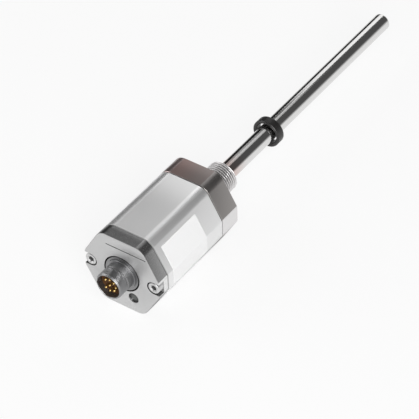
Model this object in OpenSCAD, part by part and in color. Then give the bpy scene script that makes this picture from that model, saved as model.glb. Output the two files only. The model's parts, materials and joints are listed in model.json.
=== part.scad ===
// Magnetostrictive position sensor: a rod with a screw-in flange, a hexagonal
// electronics housing, a round eight-pin connector and a ring magnet on the rod.
// The rod lies along +X and the flat top of the housing faces +Z. The origin is on
// the rod's axis where the mounting thread starts, one undercut out from the flange.

/* [Outline] */
// Distance across the top and bottom flats of the hexagon
hex_flats = 46; // [44:1:50]
// Distance across the two narrow side flats that cut its outer corners
side_flats = 47.5; // [46:0.5:49.5]
// Radius of the four long edges beside the top and bottom flats
corner_r = 7.5; // [4:0.5:8]
// Radius of the edges beside the side flats
side_r = 2.5; // [1:0.5:4]

/* [Housing] */
// Length of the extruded housing
housing_l = 49; // [46:1:90]
// Wall of the extruded housing
housing_wall = 2.6; // [2:0.2:3.4]
// Thickness of the seals at both ends of the housing
gasket_t = 0.4; // [0.3:0.1:0.8]
// How far the seals stand back from the outline
gasket_setback = 0.5; // [0.3:0.1:0.8]
// Thickness of the printed label
label_t = 0.15; // [0.1:0.05:0.3]
// Length of the label along the housing
label_l = 30; // [20:1:36]
// Distance from the cover end of the housing to the label
label_offset = 4.7; // [3:0.1:8]
// Height of the label's upper edge above the rod's axis
label_top = 17.5; // [12:0.5:18]
// Depth of the label's lower edge below the rod's axis
label_bottom = 16.5; // [10:0.5:18]

/* [End cover] */
// Thickness of the end cover
cover_t = 7.8; // [6:0.2:12]
// Depth of the pockets that take the screw heads
pocket_depth = 4.2; // [4:0.1:4.8]
// Width of the screw pockets, open to the side
pocket_w = 7.8; // [7.4:0.1:8.4]
// Height of the engraved line above the rod's axis
line_z = 16.6; // [13:0.1:17.5]
// Start of the engraved line across the cover, towards +Y
line_start = 9.4; // [6:0.2:13]
// End of the engraved line across the cover, towards -Y
line_end = 15.8; // [6:0.2:17]
// Width of the engraved line
line_w = 0.5; // [0.3:0.1:0.8]
// Depth of the engraved line
line_depth = 0.4; // [0.2:0.1:0.8]

/* [Screws] */
// Distance of each long screw from the rod's axis
screw_offset = 20; // [19.6:0.1:20.4]
// Screw thread diameter
screw_d = 4; // [3:0.5:4]
// Screw head diameter
screw_head_d = 7; // [6:0.1:7.2]
// Screw head height
screw_head_h = 4; // [3:0.1:4]
// Size across the flats of the hexagon socket
screw_socket = 3; // [2:0.5:3]
// Depth of the hexagon socket
screw_socket_depth = 2.2; // [1.5:0.1:2.6]
// Length of thread held in the flange
screw_grip = 9; // [6:0.5:11]
// Diameter of the screw bosses inside the housing
boss_d = 7; // [6.4:0.1:7.2]

/* [Flange] */
// Thickness of the flange
flange_t = 14; // [12:0.2:20]
// Nominal diameter of the mounting thread
thread_d = 18; // [16:0.5:22]
// Length of the mounting thread
thread_l = 18.5; // [12:0.5:30]
// Chamfer at the free end of the thread
thread_chamfer = 1; // [0.5:0.1:1.5]
// Width of the undercut between the flange and the thread
undercut_w = 2.6; // [2.4:0.1:4]
// Diameter of the undercut
undercut_d = 15.4; // [14.6:0.1:15.4]
// Cord thickness of the sealing ring in the undercut
o_ring_cord = 2.1; // [1.6:0.1:2.2]

/* [Rod] */
// Outer diameter of the rod
rod_d = 10.2; // [9.6:0.1:11]
// Bore of the rod
rod_bore = 7; // [6:0.2:7.6]
// Length of the rod beyond the thread
rod_l = 162.5; // [100:0.5:400]
// Length of the welded end plug that shows
plug_l = 3; // [2:0.5:6]
// Length of the plug inside the rod
plug_grip = 3; // [2:0.5:6]
// Chamfer at the tip of the rod
tip_chamfer = 0.7; // [0.3:0.1:1.2]
// Depth of the rod's seat in the flange, behind the undercut
rod_seat = 9; // [6:0.5:10]

/* [Position magnet] */
// Outer diameter of the ring magnet
magnet_d = 17; // [15:0.1:30]
// Bore of the ring magnet
magnet_bore = 12.8; // [11.8:0.1:13.4]
// Thickness of the ring magnet
magnet_t = 5.5; // [4:0.5:10]
// Distance from the end of the thread to the magnet as stored
magnet_offset = 40.8; // [5:0.1:80]
// Chamfer round the ring's bore
magnet_bore_chamfer = 0.8; // [0.3:0.1:1]
// Chamfer round the ring's rim
magnet_rim_chamfer = 0.5; // [0.2:0.1:1]

/* [Connector] */
// Thread diameter of the connector
conn_d = 16; // [15.5:0.1:16]
// Length of the connector in front of the cover
conn_l = 11.8; // [10:0.2:16]
// Length of its threaded front part
conn_thread_l = 5.6; // [4:0.2:6]
// Width of the groove behind the thread
conn_groove_w = 1.2; // [0.8:0.1:1.6]
// Depth of that groove
conn_groove_depth = 0.4; // [0.3:0.1:0.6]
// Inner diameter of the connector's mouth
conn_mouth_d = 13.8; // [11:0.2:13.8]
// Chamfer at the front of the connector
conn_chamfer = 0.6; // [0.3:0.1:0.8]
// Diameter of the connector's round base
conn_base_d = 21.4; // [20:0.2:22]
// Diameter of the collar between base and barrel
conn_collar_d = 18.4; // [17:0.2:19]
// Height of that collar
conn_collar_h = 1.2; // [0.6:0.2:2]
// Thickness of the base, sunk into the cover
conn_base_t = 2.5; // [2:0.1:3]
// Gap between the base and its recess
conn_base_gap = 0.5; // [0.2:0.05:0.6]
// Number of places round the pin circle, one of them left out for the key
pin_places = 8; // [6:1:10]
// Radius of the pin circle
pin_circle_r = 3.75; // [3.2:0.05:4.2]
// Diameter of a contact pin
pin_d = 1.3; // [0.8:0.1:1.4]
// Depth of the pin tips below the rim
pin_recess = 1.1; // [0.2:0.1:1.5]
// Depth of the insert's face below the rim
insert_recess = 4.2; // [3:0.2:6]
// Size across the flats of the nut behind the cover
conn_nut_flats = 19; // [18:0.5:20]
// Thickness of that nut
conn_nut_t = 2.8; // [2:0.2:3]

/* [Status light] */
// Place of the status light across the cover, towards -Y
led_across = 6.8; // [4:0.1:8]
// Depth of the status light below the rod's axis
led_down = 13.8; // [13.8:0.1:15.2]
// Diameter of its window
window_d = 6.2; // [3:0.1:6.4]
// How far the window lies below the cover's face
window_recess = 0.7; // [0.3:0.1:1.5]
// Diameter of the light inside
led_d = 3; // [2:0.2:3]

/* [Boards] */
// Thickness of the circuit boards
board_t = 1.6; // [1:0.2:1.6]
// Height of the signal board above the rod's axis
signal_board_z = 9; // [8.8:0.1:9.6]
// Depth of the power board below the rod's axis
power_board_z = 10.2; // [9.8:0.1:10.6]
// Thickness of the guide lips that hold a board
lip_t = 1.2; // [1:0.1:1.4]
// Overlap of the guide lips on a board
lip_reach = 1.5; // [1:0.1:2]
// Gap between a board and its guides
board_gap = 0.1; // [0.05:0.05:0.2]

/* [Sensing element] */
// Length of the pickup's base
base_l = 24; // [20:1:28]
// Width of the pickup's base
base_w = 16; // [12:1:18]
// Thickness of its end walls
base_wall = 3; // [2:0.5:4]
// Diameter of the bobbin's flanges
bobbin_d = 8; // [6:0.5:8]
// Diameter of the coil
coil_d = 6.8; // [5:0.2:7]
// Diameter of the waveguide wire
waveguide_d = 0.7; // [0.5:0.1:1]
// Outer diameter of the liner round the waveguide
liner_d = 2.6; // [2:0.2:3]
// Diameter of the return wire
return_d = 0.6; // [0.4:0.1:0.8]
// Distance between the waveguide and the return wire
return_offset = 2.3; // [2:0.1:2.6]
// Length of the damping sleeve near the tip
damper_l = 20; // [10:1:40]

/* [Hidden] */
$fn = 64;

// Clearances that several pieces share
slip = 0.05;
screw_slip = 0.25;
play = 0.2;
drill_extra = 0.5;

// How far a cutting shape stands out of what it cuts
cut = 1;

// Half sizes of the outline
half_h = hex_flats / 2;
half_w = side_flats / 2;

// Stations along the rod's axis, from the tip back to the connector
face_x = -undercut_w;
flange_back = face_x - flange_t;
housing_front = flange_back - gasket_t;
housing_back = housing_front - housing_l;
cover_in = housing_back - gasket_t;
cover_out = cover_in - cover_t;
conn_rim = cover_out - conn_l;
thread_end = thread_l;
rod_end = thread_end + rod_l;
tube_end = rod_end - plug_l;
rod_start = face_x - rod_seat;
magnet_x = thread_end + magnet_offset;

// The rod's seat is turned down by this much, so that a shoulder meets the thread's end
rod_step = 0.1;
seat_r = rod_d / 2 - rod_step;

// Frame of the pickup, seated on the back of the flange
base_back = flange_back - base_l;
base_spigot_r = 6;
base_spigot_l = 2;
base_floor_t = 2;
base_floor_z = -bobbin_d / 2 - play;
base_top_z = 5;
base_screw_y = base_w / 2 + 2;
base_screw_d = 2.5;
base_screw_head_d = 3.8;
base_screw_head_h = 1.5;
base_screw_grip = 4.5;
base_foot_t = 2.4;
base_foot_r = 2.6;

// Bobbin, coil and bias magnet between the end walls of that frame
bobbin_back = base_back + base_wall;
bobbin_l = base_l - 2 * base_wall;
bobbin_core_r = 1.6;
bobbin_cheek_t = 1;
bias_w = 3;
bias_t = 1.8;
terminal_r = 0.35;
terminal_grip = 3;

// Wires along the rod
anchor_l = 3;
anchor_d = 3;
wire_tail = 1;
damper_end = tube_end - plug_grip - 4;
damper_start = damper_end - damper_l;
liner_end = damper_start - 0.5;
wire_end = damper_end + 2;

// Boards, held between the guide lips
connector_board_x = housing_back + 4;
connector_board_w = 24;
board_start = connector_board_x + board_t;
board_end = housing_front - 2;
board_l = board_end - board_start;
signal_z = signal_board_z;
power_z = -power_board_z;
lip_root = 4;

// Parts on the boards: share of the board's length from its rear end to the part's middle,
// place of the part's side across the board, then length, width and height
signal_parts = [[0.26, -5, 10, 10, 1.4], [0.57, -3, 6, 5, 1.2], [0.81, -6, 5, 4, 1], [0.81, 2, 5, 4, 1]];
converter_parts = [[0.57, -4, 8, 8, 4], [0.82, -8, 6, 6, 2.4], [0.82, 2, 6, 6, 2.4]];
capacitor_d = 6;
capacitor_h = 6.5;
capacitor_x = 5;
capacitor_pitch = 8;

// Connector
conn_tail_end = cover_in + conn_nut_t + 0.4;
insert_face = conn_rim + insert_recess;
pin_tail_r = pin_d / 2 - 0.2;
pin_shoulder = conn_tail_end - play;
pin_end = board_start + 0.5;
key_w = 1.8;
key_l = 2.2;
key_in = 0.5;
key_out = 0.3;
seal_cord = 1;
seal_w = 1.8;

// Light behind its window
led_l = 5;
lead_t = 0.5;
lead_spread = 0.6;
lead_x = board_start + 2;

// Height at which a sloped side meets a side flat
function slope_z(h, w) = 2 * h - sqrt(3) * w;

// How far out a sloped side is at a given height
function slope_y(h, z) = (2 * h - abs(z)) / sqrt(3);

// The eight corners of the outline, clockwise from the top right
function outline_points(h, w) = [
    [h / sqrt(3), h], [w, slope_z(h, w)], [w, -slope_z(h, w)], [h / sqrt(3), -h],
    [-h / sqrt(3), -h], [-w, -slope_z(h, w)], [-w, slope_z(h, w)], [-h / sqrt(3), h]
];

function outline_radii(inset) = [
    for (i = [0:7]) max(0.2, ((i % 4 == 0 || i % 4 == 3) ? corner_r : side_r) - inset)
];

function unit(v) = v / norm(v);

// What a rounded corner loses: the bit between its two tangent points and its arc
module corner_bit(corner, before, after, r) {
    a = unit(before - corner);
    b = unit(after - corner);
    half = acos(a * b) / 2;
    centre = corner + unit(a + b) * r / sin(half);
    difference() {
        polygon([corner + a * r / tan(half), 2 * corner - centre, corner + b * r / tan(half)]);
        translate(centre)
            circle(r = r);
    }
}

// Polygon with a true arc of its own radius at each corner
module rounded(points, radii) {
    n = len(points);
    difference() {
        polygon(points);
        for (i = [0:n - 1])
            corner_bit(points[i], points[(i + n - 1) % n], points[(i + 1) % n], radii[i]);
    }
}

// Outline of housing, cover and flange, set in by a wall or out by a negative one
module outline(inset = 0) {
    rounded(outline_points(half_h - inset, half_w - inset), outline_radii(inset));
}

// Children of two dimensions, y and z, drawn out along +X
module along_x(start, length) {
    translate([start, 0, 0])
        rotate([90, 0, 90])
            linear_extrude(length)
                children();
}

// Round bar along +X
module bar(start, length, r, at = [0, 0]) {
    translate([start, at[0], at[1]])
        rotate([0, 90, 0])
            cylinder(h = length, r = r);
}

// Profile of radius and station turned about the X axis
module turned(points) {
    rotate([0, 90, 0])
        rotate_extrude($fn = 96)
            polygon(points);
}

module both_sides() {
    for (side = [-1, 1])
        translate([0, side * screw_offset, 0])
            children();
}

// Half width of a board that slides between the guide lips
function board_half_w(z) = slope_y(half_h - housing_wall, abs(z) + board_t / 2) - 2 * board_gap;

// Guide lips above and below a board, on both walls
module board_lips(z) {
    for (side = [-1, 1], edge = [-1, 1])
        translate([
            side * (board_half_w(z) + (lip_root - lip_reach) / 2),
            z + edge * (board_t / 2 + board_gap + lip_t / 2)
        ])
            square([lip_reach + lip_root, lip_t], center = true);
}

// Inside of the housing: outline less wall, screw bosses and guide lips
module cavity() {
    difference() {
        outline(housing_wall);
        for (side = [-1, 1])
            translate([side * screw_offset, 0])
                circle(d = boss_d);
        board_lips(signal_z);
        board_lips(power_z);
    }
}

module housing_profile() {
    color("silver")
    difference() {
        along_x(housing_back, housing_l)
            difference() {
                outline();
                cavity();
            }
        both_sides()
            bar(housing_back - cut, housing_l + 2 * cut, screw_d / 2 + screw_slip);
    }
}

// Flat seal that backs the housing's end face
module gasket(start) {
    difference() {
        along_x(start, gasket_t)
            difference() {
                outline(gasket_setback);
                cavity();
            }
        both_sides()
            bar(start - cut, gasket_t + 2 * cut, screw_d / 2 + screw_slip);
    }
}

module cover_gasket() {
    color("dimgray")
    gasket(cover_in);
}

module flange_gasket() {
    color("dimgray")
    gasket(housing_front);
}

// Pocket for a screw head, open to the side flat
module screw_pocket(side) {
    bar(cover_out - cut, pocket_depth + cut, pocket_w / 2, [side * screw_offset, 0]);
    translate([cover_out - cut, side > 0 ? screw_offset : -screw_offset - half_w, -pocket_w / 2])
        cube([pocket_depth + cut, half_w, pocket_w]);
}

module end_cover() {
    color("lightgray")
    difference() {
        along_x(cover_out, cover_t)
            outline();
        for (side = [-1, 1])
            screw_pocket(side);
        both_sides()
            bar(cover_out, cover_t + cut, screw_d / 2 + screw_slip);
        bar(cover_out - cut, conn_base_t + cut, conn_base_d / 2 + conn_base_gap);
        bar(cover_out, cover_t + cut, conn_d / 2 + slip);
        bar(cover_out - cut, cover_t + 2 * cut, window_d / 2 + slip, [-led_across, -led_down]);
        translate([cover_out - cut, -line_end, line_z - line_w / 2])
            cube([line_depth + cut, line_start + line_end, line_w]);
    }
}

module cover_screws() {
    color("gainsboro")
    both_sides()
    difference() {
        union() {
            bar(cover_out + pocket_depth - screw_head_h, screw_head_h, screw_head_d / 2);
            bar(cover_out + pocket_depth, flange_back + screw_grip - cover_out - pocket_depth, screw_d / 2);
        }
        translate([cover_out + pocket_depth - screw_head_h - cut, 0, 0])
            rotate([0, 90, 0])
                cylinder(h = screw_socket_depth + cut, d = screw_socket / cos(30), $fn = 6);
    }
}

// Flange with its threaded spigot, one turned and milled piece
module mounting_flange() {
    color("darkgray")
    difference() {
        union() {
            along_x(flange_back, flange_t)
                outline();
            turned([
                [0, face_x - cut], [undercut_d / 2, face_x - cut], [undercut_d / 2, 0],
                [thread_d / 2, 0], [thread_d / 2, thread_end - thread_chamfer],
                [thread_d / 2 - thread_chamfer, thread_end], [0, thread_end]
            ]);
        }
        bar(rod_start, thread_end - rod_start + cut, seat_r + slip);
        bar(flange_back - cut, rod_start - flange_back + 2 * cut, rod_bore / 2);
        bar(flange_back - cut, base_spigot_l + play + cut, base_spigot_r + slip);
        both_sides()
            bar(flange_back - cut, screw_grip + drill_extra + cut, screw_d / 2 + slip);
        for (side = [-1, 1])
            bar(flange_back - cut, base_screw_grip + drill_extra + cut, base_screw_d / 2 + slip,
                [side * base_screw_y, 0]);
    }
}

module mounting_o_ring() {
    color("#222222")
    translate([face_x + o_ring_cord / 2 + slip, 0, 0])
        rotate([0, 90, 0])
            rotate_extrude($fn = 96)
                translate([undercut_d / 2 + o_ring_cord / 2 + slip, 0])
                    circle(d = o_ring_cord, $fn = 32);
}

module pressure_rod() {
    color("gray")
    turned([
        [rod_bore / 2, rod_start], [seat_r, rod_start], [seat_r, thread_end],
        [rod_d / 2, thread_end], [rod_d / 2, tube_end], [rod_bore / 2, tube_end]
    ]);
}

module rod_end_plug() {
    color("gray")
    turned([
        [0, tube_end - plug_grip], [rod_bore / 2 - slip, tube_end - plug_grip],
        [rod_bore / 2 - slip, tube_end], [rod_d / 2, tube_end],
        [rod_d / 2, rod_end - tip_chamfer], [rod_d / 2 - tip_chamfer, rod_end], [0, rod_end]
    ]);
}

module waveguide() {
    color("peru")
    bar(base_back - anchor_l - wire_tail, wire_end - base_back + anchor_l + wire_tail, waveguide_d / 2);
}

module waveguide_liner() {
    color("white")
    difference() {
        bar(flange_back, liner_end - flange_back, liner_d / 2);
        bar(flange_back - cut, liner_end - flange_back + 2 * cut, waveguide_d / 2 + slip);
    }
}

module return_wire() {
    color("goldenrod")
    bar(flange_back, wire_end - flange_back, return_d / 2, [0, -return_offset]);
}

module damping_sleeve() {
    color("darkred")
    difference() {
        bar(damper_start, damper_l, rod_bore / 2 - play);
        bar(damper_start - cut, damper_l + 2 * cut, waveguide_d / 2 + slip);
        bar(damper_start - cut, damper_l + 2 * cut, return_d / 2 + slip, [0, -return_offset]);
    }
}

// Crimped ferrule that holds the end of the waveguide
module waveguide_anchor() {
    color("gold")
    difference() {
        bar(base_back - anchor_l, anchor_l, anchor_d / 2);
        bar(base_back - anchor_l - cut, anchor_l + 2 * cut, waveguide_d / 2 + slip);
    }
}

// Moulded frame of the pickup: floor, two end walls, spigot and two screw feet
module pickup_base() {
    color("#333333")
    difference() {
        union() {
            translate([base_back, -base_w / 2, base_floor_z - base_floor_t])
                cube([base_l, base_w, base_floor_t]);
            for (x = [base_back, flange_back - base_wall])
                translate([x, -base_w / 2, base_floor_z - base_floor_t])
                    cube([base_wall, base_w, base_top_z - base_floor_z + base_floor_t]);
            bar(flange_back - base_wall, base_wall + base_spigot_l, base_spigot_r);
            for (side = [-1, 1])
                bar(flange_back - base_foot_t, base_foot_t, base_foot_r, [side * base_screw_y, 0]);
        }
        bar(base_back - cut, base_wall + 2 * cut, waveguide_d / 2 + slip);
        bar(flange_back - base_wall - cut, base_wall + cut, waveguide_d / 2 + slip);
        bar(flange_back, base_spigot_l + cut, liner_d / 2 + slip);
        bar(flange_back, base_spigot_l + cut, return_d / 2 + slip, [0, -return_offset]);
        for (side = [-1, 1])
            bar(flange_back - base_foot_t - cut, base_foot_t + 2 * cut, base_screw_d / 2 + slip,
                [side * base_screw_y, 0]);
        for (side = [-1, 1])
            translate([base_back + base_wall / 2, side * base_w / 4, base_top_z - terminal_grip])
                cylinder(h = terminal_grip + cut, r = terminal_r + slip);
    }
}

module base_screws() {
    color("gainsboro")
    for (side = [-1, 1]) {
        bar(flange_back - base_foot_t - base_screw_head_h, base_screw_head_h, base_screw_head_d / 2,
            [side * base_screw_y, 0]);
        bar(flange_back - base_foot_t, base_foot_t + base_screw_grip, base_screw_d / 2,
            [side * base_screw_y, 0]);
    }
}

// Spool between the end walls of the pickup base
module coil_bobbin() {
    color("beige")
    difference() {
        union() {
            bar(bobbin_back, bobbin_l, bobbin_core_r);
            bar(bobbin_back, bobbin_cheek_t, bobbin_d / 2);
            bar(bobbin_back + bobbin_l - bobbin_cheek_t, bobbin_cheek_t, bobbin_d / 2);
        }
        bar(bobbin_back - cut, bobbin_l + 2 * cut, waveguide_d / 2 + slip);
    }
}

module pickup_coil() {
    coil_start = bobbin_back + bobbin_cheek_t;
    coil_l = bobbin_l - 2 * bobbin_cheek_t;
    color("chocolate")
    difference() {
        bar(coil_start, coil_l, coil_d / 2);
        bar(coil_start - cut, coil_l + 2 * cut, bobbin_core_r + slip);
    }
}

// Bar magnet that lies along the top of the bobbin
module bias_magnet() {
    color("darkslategray")
    translate([bobbin_back + play, -bias_w / 2, bobbin_d / 2 + slip])
        cube([bobbin_l - 2 * play, bias_w, bias_t]);
}

// Two pins from the pickup base up to the signal board
module coil_terminals() {
    color("gold")
    for (side = [-1, 1])
        translate([base_back + base_wall / 2, side * base_w / 4, base_top_z - terminal_grip])
            cylinder(h = signal_z - board_t / 2 - base_top_z + terminal_grip, r = terminal_r);
}

module long_board(z) {
    translate([board_start, -board_half_w(z), z - board_t / 2])
        cube([board_l, 2 * board_half_w(z), board_t]);
}

module signal_board() {
    color("darkgreen")
    long_board(signal_z);
}

module power_board() {
    color("darkgreen")
    long_board(power_z);
}

// Upright board behind the connector that joins the two long ones
module connector_board() {
    color("darkgreen")
    difference() {
        translate([connector_board_x, -connector_board_w / 2, power_z - board_t / 2])
            cube([board_t, connector_board_w, signal_z - power_z + board_t]);
        pin_places_at()
            bar(connector_board_x - cut, board_t + 2 * cut, pin_tail_r + slip);
    }
}

module signal_chips() {
    color("#1c1c1c")
    for (p = signal_parts)
        translate([board_start + p[0] * board_l - p[2] / 2, p[1], signal_z + board_t / 2])
            cube([p[2], p[3], p[4]]);
}

// Converter parts that hang under the power board
module power_parts() {
    color("#2a2a2a")
    for (p = converter_parts)
        translate([board_start + p[0] * board_l - p[2] / 2, p[1], power_z - board_t / 2 - p[4]])
            cube([p[2], p[3], p[4]]);
}

// Electrolytic capacitors that stand on the power board, towards the rod's axis
module filter_capacitors() {
    color("slategray")
    for (i = [-1:1])
        translate([board_start + capacitor_x, i * capacitor_pitch, power_z + board_t / 2])
            cylinder(h = capacitor_h, d = capacitor_d);
}

// Places of the contact pins: one in the middle and a circle with the place at +Y left out
module pin_places_at() {
    children();
    for (i = [1:pin_places - 1])
        rotate([i * 360 / pin_places, 0, 0])
            translate([0, pin_circle_r, 0])
                children();
}

// Turned metal shell: threaded barrel, collar, sunk base and tail through the cover
module connector_shell() {
    barrel_r = conn_d / 2;
    groove_start = conn_rim + conn_thread_l;
    groove_end = groove_start + conn_groove_w;
    color("silver")
    difference() {
        turned([
            [0, conn_rim], [barrel_r - conn_chamfer, conn_rim], [barrel_r, conn_rim + conn_chamfer],
            [barrel_r, groove_start], [barrel_r - conn_groove_depth, groove_start],
            [barrel_r - conn_groove_depth, groove_end], [barrel_r, groove_end],
            [barrel_r, cover_out - conn_collar_h], [conn_collar_d / 2, cover_out - conn_collar_h],
            [conn_collar_d / 2, cover_out], [conn_base_d / 2, cover_out],
            [conn_base_d / 2, cover_out + conn_base_t], [barrel_r, cover_out + conn_base_t],
            [barrel_r, conn_tail_end], [0, conn_tail_end]
        ]);
        bar(conn_rim - cut, conn_tail_end - conn_rim + 2 * cut, conn_mouth_d / 2);
        translate([conn_rim - cut, conn_mouth_d / 2 - key_in, -key_w / 2])
            cube([key_l + cut, key_in + key_out, key_w]);
        difference() {
            bar(cover_out + conn_base_t - seal_cord, 2 * seal_cord, conn_base_d);
            bar(cover_out + conn_base_t - 2 * seal_cord, 4 * seal_cord, conn_base_d / 2 - seal_w);
        }
    }
}

module connector_insert() {
    color("saddlebrown")
    difference() {
        bar(insert_face, conn_tail_end - insert_face, conn_mouth_d / 2 - slip);
        pin_places_at()
            bar(insert_face - cut, conn_tail_end - insert_face + 2 * cut, pin_d / 2 + slip);
    }
}

module contact_pins() {
    pin_start = conn_rim + pin_recess;
    color("gold")
    pin_places_at()
        turned([
            [0, pin_start], [pin_d / 4, pin_start], [pin_d / 2, pin_start + pin_d / 4],
            [pin_d / 2, pin_shoulder], [pin_tail_r, pin_shoulder], [pin_tail_r, pin_end], [0, pin_end]
        ]);
}

module connector_nut() {
    color("silver")
    difference() {
        translate([cover_in, 0, 0])
            rotate([0, 90, 0])
                cylinder(h = conn_nut_t, d = conn_nut_flats / cos(30), $fn = 6);
        bar(cover_in - cut, conn_nut_t + 2 * cut, conn_d / 2 + slip);
    }
}

// Square cut sealing ring in the step under the connector's base
module connector_seal() {
    color("#222222")
    difference() {
        bar(cover_out + conn_base_t - seal_cord, seal_cord, conn_base_d / 2);
        bar(cover_out + conn_base_t - 2 * seal_cord, 3 * seal_cord, conn_base_d / 2 - seal_w + slip);
    }
}

module led_window() {
    color("#505050")
    bar(cover_out + window_recess, cover_t - window_recess, window_d / 2, [-led_across, -led_down]);
}

// Light with two leads that turn up to the power board
module status_led() {
    leads_from = cover_in + led_l;
    color("palegreen") {
        bar(cover_in, led_l, led_d / 2, [-led_across, -led_down]);
        for (side = [-1, 1])
            translate([0, -led_across + side * lead_spread - lead_t / 2, -led_down - lead_t / 2]) {
                translate([leads_from, 0, 0])
                    cube([lead_x - leads_from, lead_t, lead_t]);
                translate([lead_x - lead_t, 0, 0])
                    cube([lead_t, lead_t, power_z - board_t / 2 + led_down + lead_t / 2]);
            }
    }
}

// Blank printed label wrapped round the side that faces -Y
module type_label() {
    color("white")
    along_x(housing_back + label_offset, label_l)
        intersection() {
            difference() {
                outline(-label_t);
                outline();
            }
            translate([-side_flats, -label_bottom])
                square([side_flats, label_top + label_bottom]);
        }
}

module position_magnet() {
    inner = magnet_bore / 2;
    outer = magnet_d / 2;
    magnet_end = magnet_x + magnet_t;
    color("#2b2b2b")
    turned([
        [inner, magnet_x + magnet_bore_chamfer], [inner + magnet_bore_chamfer, magnet_x],
        [outer - magnet_rim_chamfer, magnet_x], [outer, magnet_x + magnet_rim_chamfer],
        [outer, magnet_end - magnet_rim_chamfer], [outer - magnet_rim_chamfer, magnet_end],
        [inner + magnet_bore_chamfer, magnet_end], [inner, magnet_end - magnet_bore_chamfer]
    ]);
}

housing_profile();
end_cover();
mounting_flange();
cover_gasket();
flange_gasket();
cover_screws();
mounting_o_ring();
pressure_rod();
rod_end_plug();
waveguide();
waveguide_liner();
return_wire();
damping_sleeve();
waveguide_anchor();
pickup_base();
base_screws();
coil_bobbin();
pickup_coil();
bias_magnet();
coil_terminals();
signal_board();
power_board();
connector_board();
signal_chips();
power_parts();
filter_capacitors();
status_led();
led_window();
connector_shell();
connector_insert();
contact_pins();
connector_nut();
connector_seal();
type_label();
position_magnet();
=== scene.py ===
"""Finished look of the magnetostrictive position sensor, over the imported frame.

The rod lies along +X with the housing at the negative end, and +Z goes up through the
housing's flat top. Sizes are millimetres, unless their comment says metres; make_mesh turns
them into metres. Each sub-assembly is a class whose fields are its sizes and whose methods
build and dress its pieces, and each finish is a frozen dataclass that makes one material.
"""

import json
import logging
import math
from dataclasses import dataclass
from enum import Enum
from functools import cached_property
from typing import Any, Callable, Optional, Sequence, Union

import bmesh
import bpy
import numpy as np
from mathutils import Matrix, Vector


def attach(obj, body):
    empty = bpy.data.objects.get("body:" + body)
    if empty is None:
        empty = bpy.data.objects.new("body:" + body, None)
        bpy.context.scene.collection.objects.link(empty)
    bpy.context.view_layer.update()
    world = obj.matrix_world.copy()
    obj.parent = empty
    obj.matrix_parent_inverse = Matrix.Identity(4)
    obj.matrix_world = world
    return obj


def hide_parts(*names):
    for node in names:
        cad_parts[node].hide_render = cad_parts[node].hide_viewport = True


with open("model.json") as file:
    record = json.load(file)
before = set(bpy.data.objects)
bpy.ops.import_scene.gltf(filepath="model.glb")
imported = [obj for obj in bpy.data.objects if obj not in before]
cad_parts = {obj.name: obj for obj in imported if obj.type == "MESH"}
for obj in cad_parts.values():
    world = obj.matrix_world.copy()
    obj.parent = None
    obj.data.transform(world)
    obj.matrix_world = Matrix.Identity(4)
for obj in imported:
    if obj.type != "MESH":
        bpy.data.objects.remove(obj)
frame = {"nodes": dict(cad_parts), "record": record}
LOG = logging.getLogger("sensor")
MM = 0.001
MERGE = 1e-7  # metres between points that are one
GRAIN_DEPTH = 0.00002  # metres, depth of a fine grain's relief
STRAIGHT = 1e-3  # radians within which a profile's corner is none
CUT_SHARP = 30.0  # degrees over which the edges of a cut piece stay sharp

Obj = bpy.types.Object
Socket = bpy.types.NodeSocket
Pair = tuple[float, float]
Triple = tuple[float, float, float]
Colour = Triple
Materials = dict[str, bpy.types.Material]


class Body(Enum):
    """The part's two bodies."""

    SENSOR = "sensor"
    MAGNET = "magnet"


class Keep(Enum):
    """What stays of a piece where another meets it."""

    OUTSIDE = "DIFFERENCE"
    INSIDE = "INTERSECT"


def grey(level: float) -> Colour:
    """A neutral colour."""
    return (level, level, level)


# Shader maths

Term = Union["Value", float, None]


class Value:
    """A number socket of a node tree, so that maths nodes are written as expressions.

    A comparison gives a mask of 0 or 1. A product keeps what two masks share, | joins them.
    """

    def __init__(self, tree: "NodeTree", socket: Socket) -> None:
        """Wraps an output socket of a tree."""
        self.tree = tree
        self.socket = socket

    def maths(self, operation: str, other: Term = None) -> "Value":
        """This value through a maths node."""
        return self.tree.maths(operation, self, other)

    def __add__(self, other: Term) -> "Value":
        """The sum."""
        return self.maths("ADD", other)

    def __sub__(self, other: Term) -> "Value":
        """The difference."""
        return self.maths("SUBTRACT", other)

    def __rsub__(self, other: Term) -> "Value":
        """The difference from a number in front."""
        return self.tree.maths("SUBTRACT", other, self)

    def __mul__(self, other: Term) -> "Value":
        """The product."""
        return self.maths("MULTIPLY", other)

    def __or__(self, other: Term) -> "Value":
        """The larger of the two."""
        return self.maths("MAXIMUM", other)

    def __lt__(self, other: Term) -> "Value":
        """A mask of where this is less."""
        return self.maths("LESS_THAN", other)

    def __gt__(self, other: Term) -> "Value":
        """A mask of where this is more."""
        return self.maths("GREATER_THAN", other)

    def __abs__(self) -> "Value":
        """The value without its sign."""
        return self.maths("ABSOLUTE")

    __radd__ = __add__
    __rmul__ = __mul__
    __ror__ = __or__

    def within(self, low: float, high: float) -> "Value":
        """A mask of where this lies between two limits."""
        return (self > low) * (self < high)

    def about(self, middle: float, spread: float) -> "Value":
        """A noise of 0 to 1 turned into one that strays by half a spread from a middle."""
        return self * spread + (middle - spread / 2)

    def ramp(self, low: float, high: float, at_low: float = 0.0, at_high: float = 1.0) -> "Value":
        """Goes softly from one value to another as this goes from low to high.

        Args:
            low: where the ramp starts.
            high: where it ends.
            at_low: value up to its start.
            at_high: value from its end.

        Returns:
            The ramp's value.
        """
        sockets = {"Value": self, "From Min": low, "From Max": high, "To Min": at_low, "To Max": at_high}
        node = self.tree.node("ShaderNodeMapRange", {"interpolation_type": "SMOOTHSTEP"}, sockets)
        return Value(self.tree, node.outputs["Result"])


def hypot(a: Value, b: Value) -> Value:
    """The length of a vector with two parts."""
    return (a * a + b * b).maths("SQRT")


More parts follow.
